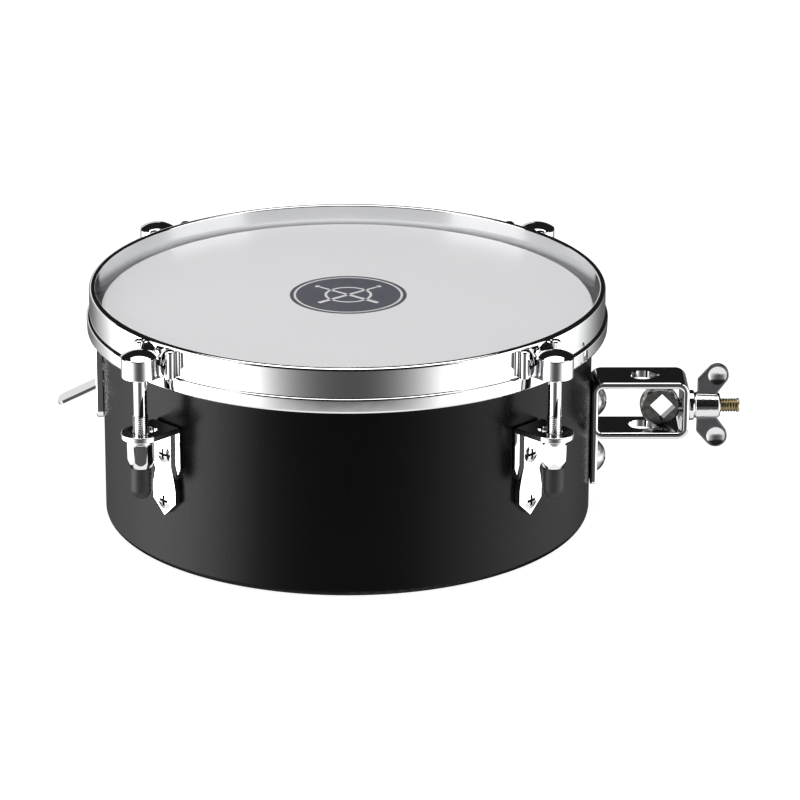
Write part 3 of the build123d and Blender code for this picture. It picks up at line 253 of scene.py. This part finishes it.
def make_camera():
    """A long lens from the player's side, aimed a little right of and below the head's centre."""
    sine, cosine = math.sin(CAMERA_ELEVATION), math.cos(CAMERA_ELEVATION)
    head = Vector((0, 0, HEAD_Z * MM))
    forward = Vector((0, cosine, -sine))
    up = Vector((0, sine, cosine))
    aim = forward * CAMERA_DISTANCE + Vector((AIM_RIGHT, 0, 0)) - up * AIM_DOWN
    camera_data = bpy.data.cameras.new("camera")
    camera_data.lens = CAMERA_LENS
    camera_data.clip_start, camera_data.clip_end = CAMERA_CLIP
    camera = bpy.data.objects.new("camera", camera_data)
    bpy.context.scene.collection.objects.link(camera)
    level = forward.to_track_quat("-Z", "Y")
    camera.rotation_mode = "QUATERNION"
    camera.rotation_quaternion = forward.rotation_difference(aim) @ level
    camera.location = head - forward * CAMERA_DISTANCE
    bpy.context.scene.camera = camera


def area_light(name, place, width, height, power):
    light_data = bpy.data.lights.new(name, "AREA")
    light_data.shape = "RECTANGLE"
    light_data.size = width
    light_data.size_y = height
    light_data.energy = power
    light = bpy.data.objects.new(name, light_data)
    light.location = place
    light.rotation_mode = "QUATERNION"
    light.rotation_quaternion = (Vector(LIGHT_TARGET) - Vector(place)).to_track_quat("-Z", "Y")
    light.visible_glossy = name != UNMIRRORED_LIGHT
    bpy.context.scene.collection.objects.link(light)


def maths(tree, operation, first, second=None):
    """One Math node; each operand is a socket or a number."""
    node = tree.nodes.new("ShaderNodeMath")
    node.operation = operation
    for socket, operand in zip(node.inputs, (first, second)):
        if operand is None:
            continue
        if isinstance(operand, (int, float)):
            socket.default_value = operand
        else:
            tree.links.new(operand, socket)
    return node.outputs["Value"]


def distance(tree, value, middle):
    """How far a value is from the middle."""
    return maths(tree, "ABSOLUTE", maths(tree, "SUBTRACT", value, middle))


def ramp(tree, value, stops):
    """A smooth grey ramp through (position, brightness) stops."""
    node = tree.nodes.new("ShaderNodeValToRGB")
    node.color_ramp.interpolation = "B_SPLINE"
    elements = node.color_ramp.elements
    while len(elements) > 1:
        elements.remove(elements[-1])
    for n, (position, grey) in enumerate(stops):
        element = elements[0] if n == 0 else elements.new(position)
        element.position = position
        element.color = (grey, grey, grey, 1)
    tree.links.new(value, node.inputs["Fac"])
    return node.outputs["Color"]


def axes(tree, coordinates):
    """The X, Y and Z sockets of one kind of texture coordinates."""
    place = tree.nodes.new("ShaderNodeTexCoord")
    split = tree.nodes.new("ShaderNodeSeparateXYZ")
    tree.links.new(place.outputs[coordinates], split.inputs["Vector"])
    return split.outputs["X"], split.outputs["Y"], split.outputs["Z"]


def smooth_step(tree, value, start, full, low=0, high=1):
    """A smooth change from low to high while the value goes from start to full."""
    step = tree.nodes.new("ShaderNodeMapRange")
    step.interpolation_type = "SMOOTHSTEP"
    step.inputs["From Min"].default_value = start
    step.inputs["From Max"].default_value = full
    step.inputs["To Min"].default_value = low
    step.inputs["To Max"].default_value = high
    tree.links.new(value, step.inputs["Value"])
    return step.outputs["Result"]


def room_below(tree, x, y, z):
    """Walls whose brightness varies round the turn, and the bright floor that fades out behind."""
    turn = maths(tree, "ARCTAN2", x, maths(tree, "MULTIPLY", y, -1.0))
    azimuth = maths(tree, "ADD", maths(tree, "DIVIDE", turn, 2 * math.pi), 0.5)
    walls = maths(tree, "MULTIPLY", ramp(tree, azimuth, SWEEP_BRIGHTNESS), SWEEP_GAIN)
    mix = tree.nodes.new("ShaderNodeMix")
    tree.links.new(smooth_step(tree, z, FLOOR_START, FLOOR_FULL), mix.inputs["Factor"])
    tree.links.new(walls, mix.inputs["A"])
    tree.links.new(smooth_step(tree, y, 0, FLOOR_BACK, FLOOR_GAIN, ROOM_GLOW), mix.inputs["B"])
    return maths(tree, "MULTIPLY", mix.outputs["Result"], maths(tree, "LESS_THAN", z, 0.0))


def room_above(tree, x, y, z):
    """Near black, but for a low screen behind on the left."""
    at_back = maths(tree, "GREATER_THAN", y, SCREEN_EDGE)
    behind = maths(tree, "MULTIPLY", at_back, maths(tree, "LESS_THAN", x, 0.0))
    screen = maths(tree, "MULTIPLY", behind, maths(tree, "LESS_THAN", z, SCREEN_TOP))
    glow = maths(tree, "ADD", maths(tree, "MULTIPLY", screen, SCREEN_GAIN), ROOM_GLOW)
    return maths(tree, "MULTIPLY", glow, maths(tree, "GREATER_THAN", z, 0.0))


def make_room():
    """The room that the chrome mirrors."""
    world = bpy.data.worlds.new("studio")
    world.use_nodes = True
    tree = world.node_tree
    background = tree.nodes["Background"]
    directions = axes(tree, "Generated")
    total = maths(tree, "ADD", room_below(tree, *directions), room_above(tree, *directions))
    tree.links.new(total, background.inputs["Strength"])
    background.inputs["Color"].default_value = (1, 1, 1, 1)
    bpy.context.scene.world = world


def make_studio():
    """Two tall side softboxes, one high overhead and a weak one in front, in a room of its own."""
    bpy.context.scene.view_settings.view_transform = "Standard"
    make_room()
    for name, (place, width, height, power) in SOFTBOXES.items():
        area_light(name, place, width, height, power)


def new_material(name, metallic=0):
    """A material with a Principled shader: (material, node tree, shader's inputs)."""
    material = bpy.data.materials.new(name)
    material.use_nodes = True
    tree = material.node_tree
    inputs = tree.nodes["Principled BSDF"].inputs
    inputs["Metallic"].default_value = metallic
    return material, tree, inputs


def noise(tree, scale, detail, roughness=0.5):
    """Noise in the object's own coordinates."""
    place = tree.nodes.new("ShaderNodeTexCoord")
    texture = tree.nodes.new("ShaderNodeTexNoise")
    texture.inputs["Scale"].default_value = scale
    texture.inputs["Detail"].default_value = detail
    texture.inputs["Roughness"].default_value = roughness
    tree.links.new(place.outputs["Object"], texture.inputs["Vector"])
    return texture.outputs["Fac"]


def spread(tree, value, low, high):
    """Maps the middle half of a noise value onto the range from low to high."""
    remap = tree.nodes.new("ShaderNodeMapRange")
    remap.inputs["From Min"].default_value = NOISE_LOW
    remap.inputs["From Max"].default_value = NOISE_HIGH
    remap.inputs["To Min"].default_value = low
    remap.inputs["To Max"].default_value = high
    tree.links.new(value, remap.inputs["Value"])
    return remap.outputs["Result"]


def blend(tree, share, first, second):
    """One colour into another; each is a socket or three numbers."""
    mix = tree.nodes.new("ShaderNodeMix")
    mix.data_type = "RGBA"
    for letter, colour in (("A", first), ("B", second)):
        if isinstance(colour, tuple):
            mix.inputs[letter].default_value = (*colour, 1)
        else:
            tree.links.new(colour, mix.inputs[letter])
    tree.links.new(share, mix.inputs["Factor"])
    return mix.outputs["Result"]


def relief(tree, inputs, scale, detail, depth):
    """A fine bump over the whole surface."""
    node = tree.nodes.new("ShaderNodeBump")
    node.inputs["Distance"].default_value = depth
    tree.links.new(noise(tree, scale, detail), node.inputs["Height"])
    tree.links.new(node.outputs["Normal"], inputs["Normal"])


def surface(name, colours, roughness, look, metallic=0):
    """A finished material: a drifting tint, uneven roughness and a fine relief."""
    tint, grain, bumps = look
    material, tree, inputs = new_material(name, metallic)
    drift = spread(tree, noise(tree, *tint), 0, 1)
    tree.links.new(blend(tree, drift, *colours), inputs["Base Color"])
    tree.links.new(spread(tree, noise(tree, *grain), *roughness), inputs["Roughness"])
    relief(tree, inputs, *bumps)
    return material


def powder_coat():
    """Satin black powder coat with orange peel and a weak gloss."""
    material = surface("black_powder_coat", PAINT_COLOURS, PAINT_ROUGHNESS, PAINT_LOOK)
    shader = material.node_tree.nodes["Principled BSDF"]
    shader.inputs["Specular IOR Level"].default_value = PAINT_SPECULAR
    return material


def cast_metal():
    """A cast wing nut: the webs dark and rougher, the round dishes and the hub bright and smoother."""
    material, tree, inputs = new_material("cast_wing_nut", metallic=1)
    x, y, z = axes(tree, "Object")
    rise = maths(tree, "SUBTRACT", distance(tree, z, CLAMP_Z), WING_SPAN)
    run = maths(tree, "SUBTRACT", x, WING_TIP_X)
    rise_square = maths(tree, "MULTIPLY", rise, rise)
    square = maths(tree, "ADD", rise_square, maths(tree, "MULTIPLY", run, run))
    in_dish = maths(tree, "LESS_THAN", maths(tree, "SQRT", square), WING_DISH_R)
    on_hub = maths(tree, "GREATER_THAN", maths(tree, "ABSOLUTE", y), WING_WEB_HALF)
    bright = maths(tree, "MAXIMUM", in_dish, on_hub)
    tree.links.new(blend(tree, bright, *CAST_COLOURS), inputs["Base Color"])
    pitted = spread(tree, noise(tree, *CAST_GRAIN), *CAST_ROUGHNESS)
    polish = maths(tree, "MULTIPLY", bright, CAST_POLISH)
    tree.links.new(maths(tree, "ADD", pitted, polish), inputs["Roughness"])
    relief(tree, inputs, *CAST_RELIEF)
    return material


def eye_bolt_metal():
    """The eye bolt: dark nickel round the ring, and dull yellow zinc on its thread."""
    tint, grain, bumps = BOLT_LOOK
    material, tree, inputs = new_material("eye_bolt_plate", metallic=1)
    on_thread = maths(tree, "GREATER_THAN", axes(tree, "Object")[0], EYE_THREAD_X)
    drift = spread(tree, noise(tree, *tint), 0, 1)
    ring = blend(tree, drift, *BOLT_RING_COLOURS)
    thread = blend(tree, drift, *BOLT_THREAD_COLOURS)
    tree.links.new(blend(tree, on_thread, ring, thread), inputs["Base Color"])
    haze = spread(tree, noise(tree, *grain), *BOLT_ROUGHNESS)
    dulling = maths(tree, "MULTIPLY", on_thread, BOLT_THREAD_DULLING)
    tree.links.new(maths(tree, "ADD", haze, dulling), inputs["Roughness"])
    relief(tree, inputs, *bumps)
    return material


def lug_screw_metal():
    """Chrome like the other plated parts, with shade painted near black into the cross recesses, which are
    also made duller.
    """
    grain, bumps = PLATE_LOOK[1:]
    material, tree, inputs = new_material("lug_screw_plate", metallic=1)
    x, y, z = axes(tree, "Object")
    uneven = maths(tree, "SUBTRACT", maths(tree, "ABSOLUTE", x), maths(tree, "ABSOLUTE", y))
    across = maths(tree, "ABSOLUTE", maths(tree, "MULTIPLY", uneven, math.sqrt(0.5)))
    along = maths(tree, "MINIMUM", *(distance(tree, z, height) for height in LUG_SCREW_Z))
    wide = maths(tree, "MAXIMUM", across, along)
    narrow = maths(tree, "MINIMUM", across, along)
    in_width = maths(tree, "LESS_THAN", narrow, CROSS_HALF_WIDTH)
    in_length = maths(tree, "LESS_THAN", wide, CROSS_HALF_LENGTH)
    # Cross-shaped mask over the screw heads' recesses, where shade is painted near black and the roughness is
    # raised
    painted_recess_shade = maths(tree, "MULTIPLY", in_width, in_length)
    tree.links.new(blend(tree, painted_recess_shade, *SCREW_CHROME_AND_RECESS_SHADE_COLOURS), inputs["Base Color"])
    haze = spread(tree, noise(tree, *grain), *CHROME_ROUGHNESS)
    dulling = maths(tree, "MULTIPLY", painted_recess_shade, SCREW_RECESS_DULLING)
    tree.links.new(maths(tree, "ADD", haze, dulling), inputs["Roughness"])
    relief(tree, inputs, *bumps)
    return material


def white_floor():
    material, tree, inputs = new_material("white_floor")
    drift = spread(tree, noise(tree, *FLOOR_TINT), 0, 1)
    tree.links.new(blend(tree, drift, *FLOOR_GREYS), inputs["Base Color"])
    inputs["Roughness"].default_value = FLOOR_ROUGHNESS
    inputs["Specular IOR Level"].default_value = FLOOR_SPECULAR
    inputs["Emission Color"].default_value = (1, 1, 1, 1)
    inputs["Emission Strength"].default_value = FLOOR_EMISSION
    return material


def dress(name, material):
    mesh = frame["nodes"][name].data
    mesh.materials.clear()
    mesh.materials.append(material)


def soften_casting(name):
    """Rounds a CAD node's corners as casting and tumbling do."""
    node = frame["nodes"][name]
    remesh = node.modifiers.new("skin", "REMESH")
    remesh.mode = "VOXEL"
    remesh.voxel_size = CAST_VOXEL
    remesh.use_smooth_shade = True
    smooth = node.modifiers.new("tumble", "SMOOTH")
    smooth.factor = CAST_SMOOTHING
    smooth.iterations = CAST_PASSES


def make_floor():
    half = FLOOR_HALF
    mesh = bpy.data.meshes.new("floor")
    corners = [(-half, -half, 0), (half, -half, 0), (half, half, 0), (-half, half, 0)]
    mesh.from_pydata(corners, [], [(0, 1, 2, 3)])
    mesh.materials.append(white_floor())
    floor = bpy.data.objects.new("floor", mesh)
    bpy.context.scene.collection.objects.link(floor)
    floor.visible_glossy = False


def piece(name, verts, faces, material, body, nodes=(), sharp_angle=SHARP_ANGLE):
    """A new mesh piece in place of its CAD nodes, shaded smooth except at sharp edges."""
    mesh = bpy.data.meshes.new(name)
    mesh.from_pydata(verts, [], faces)
    mesh.update()
    mesh.shade_smooth()
    mesh.set_sharp_from_angle(angle=math.radians(sharp_angle))
    mesh.materials.append(material)
    made = bpy.data.objects.new(name, mesh)
    bpy.context.scene.collection.objects.link(made)
    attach(made, body)
    if nodes:
        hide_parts(*nodes)


def grid_faces(rows, columns, first=0, closed=False):
    """Quads between rows of a closed loop of columns; closed joins the last row to the first."""
    faces = []
    for row in range(rows if closed else rows - 1):
        low = first + row * columns
        high = first + (row + 1) % rows * columns
        for column in range(columns):
            after = (column + 1) % columns
            faces.append((low + column, low + after, high + after, high + column))
    return faces


def around(centre, radius, degrees):
    """The point at a radius and an angle about a centre, all in one plane."""
    angle = math.radians(degrees)
    return centre[0] + radius * math.cos(angle), centre[1] + radius * math.sin(angle)


def arc(centre, radius, start, end, steps):
    """Points of a circle's arc, from the start angle to the end angle in degrees."""
    return [around(centre, radius, start + (end - start) * step / steps) for step in range(steps + 1)]


def make_hoop():
    """The counterhoop turned from one rounded profile round the drum's axis."""
    low_round = HOOP_LOW_Z + BEAD_ROUND
    top_round = BEAD_TOP_Z - BEAD_ROUND
    ledge_r, ledge_z = HOOP_LEDGE
    profile = [(HOOP_INNER_R, ledge_z), (ledge_r, ledge_z), (ledge_r, HOOP_LOW_Z)]
    profile += arc((BEAD_R - BEAD_LEAN - BEAD_ROUND, low_round), BEAD_ROUND, -90, 0, ROUND_STEPS)
    for share in BEAD_ROWS:
        bowed = BEAD_LEAN * (1 - share) * (1 - BEAD_BOW * share)
        profile.append((BEAD_R - bowed, low_round + (top_round - low_round) * share))
    profile += arc((BEAD_R - BEAD_ROUND, top_round), BEAD_ROUND, 0, 90, ROUND_STEPS)
    profile += [(HOOP_WALL_R, BEAD_TOP_Z)]
    outer = (HOOP_WALL_R - HOOP_OUTER_ROUND, HOOP_TOP_Z - HOOP_OUTER_ROUND)
    profile += arc(outer, HOOP_OUTER_ROUND, 0, 90, OUTER_ROUND_STEPS)
    inner = (HOOP_INNER_R + HOOP_INNER_ROUND, HOOP_TOP_Z - HOOP_INNER_ROUND)
    profile += arc(inner, HOOP_INNER_ROUND, 90, 180, ROUND_STEPS)
    verts = []
    for station in range(HOOP_STATIONS):
        angle = 2 * math.pi * station / HOOP_STATIONS
        for r, z in profile:
            verts.append((r * MM * math.cos(angle), r * MM * math.sin(angle), z * MM))
    faces = grid_faces(HOOP_STATIONS, len(profile), closed=True)
    piece("turned_hoop", verts, faces, chrome, "counterhoop", ["hoop"])


def thread_depth(phase):
    """How far below its crest a thread is, from 0 to 1, with a narrow flat on the crest."""
    height = abs(2 * (phase % 1) - 1)
    sunk = (THREAD_CREST_EDGE - height) / (THREAD_CREST_EDGE - THREAD_ROOT_EDGE)
    return max(0.0, min(1.0, sunk))


def rod_radius(z, turn):
    """The rod's radius at a height, and at an angle given as a share of a turn."""
    if z == ROD_LOW_Z:
        return THREAD_R - ROD_TIP
    if z <= THREAD_TOP_Z:
        return THREAD_R - THREAD_DEPTH * thread_depth(z / THREAD_PITCH - turn)
    return ROD_SHANK_R


def make_rod(lug, azimuth):
    """A tension rod: a plain shank, and a thicker rolled thread with a real helix on its lower part."""
    centre = around((0, 0), ROD_CIRCLE_R, azimuth)
    thread_low = ROD_LOW_Z + ROD_TIP
    steps = int((THREAD_TOP_Z - thread_low) / ROD_STEP)
    heights = [ROD_LOW_Z]
    heights += [thread_low + ROD_STEP * row for row in range(steps + 1)]
    heights += [THREAD_TOP_Z + THREAD_R - ROD_SHANK_R, ROD_TOP_Z]
    verts = []
    for z in heights:
        for column in range(ROD_COLUMNS):
            turn = column / ROD_COLUMNS
            x, y = around(centre, rod_radius(z, turn), 360 * turn)
            verts.append((x * MM, y * MM, z * MM))
    faces = grid_faces(len(heights), ROD_COLUMNS)
    faces.append(tuple(reversed(range(ROD_COLUMNS))))
    last = (len(heights) - 1) * ROD_COLUMNS
    faces.append(tuple(range(last, last + ROD_COLUMNS)))
    nodes = [f"tension_rod_{lug}"]
    piece(f"threaded_rod_{lug}", verts, faces, chrome, "counterhoop", nodes, ROD_SHARP_ANGLE)


def nut_ring(centre, turn, z, limit, flats):
    """One loop of the nut's skin: a circle of the limit's radius, cut by the six flats if it has them."""
    verts = []
    for column in range(NUT_COLUMNS):
        angle = 360 * column / NUT_COLUMNS
        radius = limit
        if flats:
            radius = min(limit, NUT_FACE_R / math.cos(math.radians(angle % 60 - 30)))
        x, y = around(centre, radius, angle + turn)
        verts.append((x * MM, y * MM, z * MM))
    return verts


def make_nut(lug, azimuth):
    """A tall hex nut turned down to a long cone below, with a nose under it that the cap grips."""
    centre = around((0, 0), ROD_CIRCLE_R, azimuth)
    turn = azimuth + NUT_TURN[lug]
    bevel_z = NUT_TOP_Z - NUT_BEVEL
    loops = [(NUT_NOSE_Z, NUT_BORE_R, False), (NUT_NOSE_Z, NUT_NOSE_R, False), (NUT_LOW_Z, NUT_NOSE_R, False)]
    for step in range(NUT_CONE_STEPS):
        rise = step * NUT_CONE_STEP
        loops.append((NUT_LOW_Z + rise, min(NUT_CORNER_R, NUT_CONE_R + rise * NUT_CONE_SLOPE), True))
    loops.append((bevel_z, NUT_CORNER_R, True))
    loops.append((NUT_TOP_Z, NUT_CORNER_R - NUT_BEVEL * NUT_BEVEL_SLOPE, True))
    loops.append((NUT_TOP_Z, NUT_BORE_R, False))
    verts = []
    for z, limit, flats in loops:
        verts += nut_ring(centre, turn, z, limit, flats)
    faces = grid_faces(len(loops), NUT_COLUMNS, closed=True)
    nodes = [f"tension_nut_{lug}"]
    piece(f"hex_nut_{lug}", verts, faces, chrome, f"nut_{lug}", nodes, NUT_SHARP_ANGLE)


def coil(y):
    """The skin of one coil of wire along X: its rows of vertices."""
    rows = int(2 * COIL_HALF_LENGTH / COIL_PITCH) * COIL_STEPS + 1
    length = 2 * COIL_HALF_LENGTH - 2 * COIL_WIRE_R
    along = Vector((1, 0, 0))
    verts = []
    for row in range(rows):
        angle = 2 * math.pi * row / COIL_STEPS
        x = -COIL_HALF_LENGTH + COIL_WIRE_R + length * row / (rows - 1)
        outward = Vector((0, math.cos(angle), math.sin(angle)))
        centre = Vector((x, y, COIL_Z)) + outward * COIL_R
        for side in range(COIL_SIDES):
            swing = 2 * math.pi * side / COIL_SIDES
            spot = centre + (outward * math.cos(swing) + along * math.sin(swing)) * COIL_WIRE_R
            verts.append(tuple(spot * MM))
    return verts


def make_snare_coils():
    """Twelve coils of fine wire under the head."""
    verts, faces = [], []
    for wire in range(COIL_COUNT):
        skin = coil((wire - (COIL_COUNT - 1) / 2) * COIL_GAP)
        faces += grid_faces(len(skin) // COIL_SIDES, COIL_SIDES, len(verts))
        verts += skin
    nodes = ["snare_wires"]
    piece("snare_coils", verts, faces, zinc, "snare_frame", nodes, COIL_SHARP_ANGLE)


def flat_disc(verts, faces, centre, radius, z, segments):
    first = len(verts)
    for step in range(segments):
        x, y = around(centre, radius, 360 * step / segments)
        verts.append((x * MM, y * MM, z * MM))
    faces.append(tuple(range(first, first + segments)))


def flat_ring(verts, faces, centre, radii, z, segments):
    first = len(verts)
    for step in range(segments):
        for radius in radii:
            x, y = around(centre, radius, 360 * step / segments)
            verts.append((x * MM, y * MM, z * MM))
    for step in range(segments):
        a, b = first + 2 * step, first + 2 * ((step + 1) % segments)
        faces.append((a, a + 1, b + 1, b))


def flat_stick(verts, faces, centre, tilt, z):
    """A drumstick seen from above: a slim tapering bar with a round tip."""
    first = len(verts)
    along = Vector((math.cos(math.radians(tilt)), math.sin(math.radians(tilt)), 0))
    across = Vector((-along.y, along.x, 0))
    middle = Vector((centre[0], centre[1], z))
    half_length = STICK_LENGTH / 2
    for end, half in ((-half_length, STICK_WIDTH / 2), (half_length, STICK_WIDTH / 4)):
        for side in (-1, 1):
            spot = middle + along * end + across * (side * half)
            verts.append(tuple(spot * MM))
    faces.append((first, first + 2, first + 3, first + 1))
    tip = middle + along * (half_length + STICK_WIDTH * STICK_TIP_REACH)
    flat_disc(verts, faces, (tip.x, tip.y), STICK_WIDTH * STICK_TIP_R, z, STICK_TIP_SEGMENTS)


def make_badge():
    """The dark round print on the head, with a plain ring and two crossed sticks on it."""
    verts, faces = [], []
    flat_disc(verts, faces, BADGE_CENTRE, BADGE_R, BADGE_GROUND_Z, BADGE_SEGMENTS)
    piece("badge_ground", verts, faces, badge_ink, "drum")
    verts, faces = [], []
    flat_ring(verts, faces, BADGE_CENTRE, BADGE_BORDER, BADGE_MOTIF_Z, BADGE_SEGMENTS)
    flat_ring(verts, faces, BADGE_CENTRE, BADGE_RING, BADGE_MOTIF_Z, BADGE_SEGMENTS // 2)
    for tilt in STICK_TILTS:
        flat_stick(verts, faces, BADGE_CENTRE, tilt, BADGE_MOTIF_Z)
    piece("badge_motif", verts, faces, badge_print, "drum")


make_camera()
make_studio()
make_floor()

chrome = surface("chrome", CHROME_COLOURS, CHROME_ROUGHNESS, PLATE_LOOK, metallic=1)
zinc = surface("zinc_plate", ZINC_COLOURS, ZINC_ROUGHNESS, PLATE_LOOK, metallic=1)
badge_ink = surface("badge_ink", INK_COLOURS, INK_ROUGHNESS, INK_LOOK)
badge_print = surface("badge_print", PRINT_COLOURS, INK_ROUGHNESS, INK_LOOK)

SLOT_MATERIAL = {
    "shell_paint": powder_coat(),
    "head_film": surface("milky_film", FILM_COLOURS, FILM_ROUGHNESS, FILM_LOOK),
    "chrome": chrome,
    "dark_nickel": surface("dark_nickel", NICKEL_COLOURS, NICKEL_ROUGHNESS, PLATE_LOOK, metallic=1),
    "cap_rubber": surface("black_rubber", RUBBER_COLOURS, RUBBER_ROUGHNESS, RUBBER_LOOK),
    "zinc_steel": zinc,
}
for subpart in frame["record"]["subparts"]:
    dress(subpart["node"], SLOT_MATERIAL[subpart["material_slot"]])

soften_casting("wing_nut")
dress("wing_nut", cast_metal())
dress("clamp_screws", surface("satin_chrome", SATIN_COLOURS, SATIN_ROUGHNESS, PLATE_LOOK, metallic=1))
dress("eye_bolt", eye_bolt_metal())
dress("lug_screws", lug_screw_metal())
make_hoop()
for lug, azimuth in LUGS.items():
    make_rod(lug, azimuth)
    make_nut(lug, azimuth)
make_snare_coils()
make_badge()
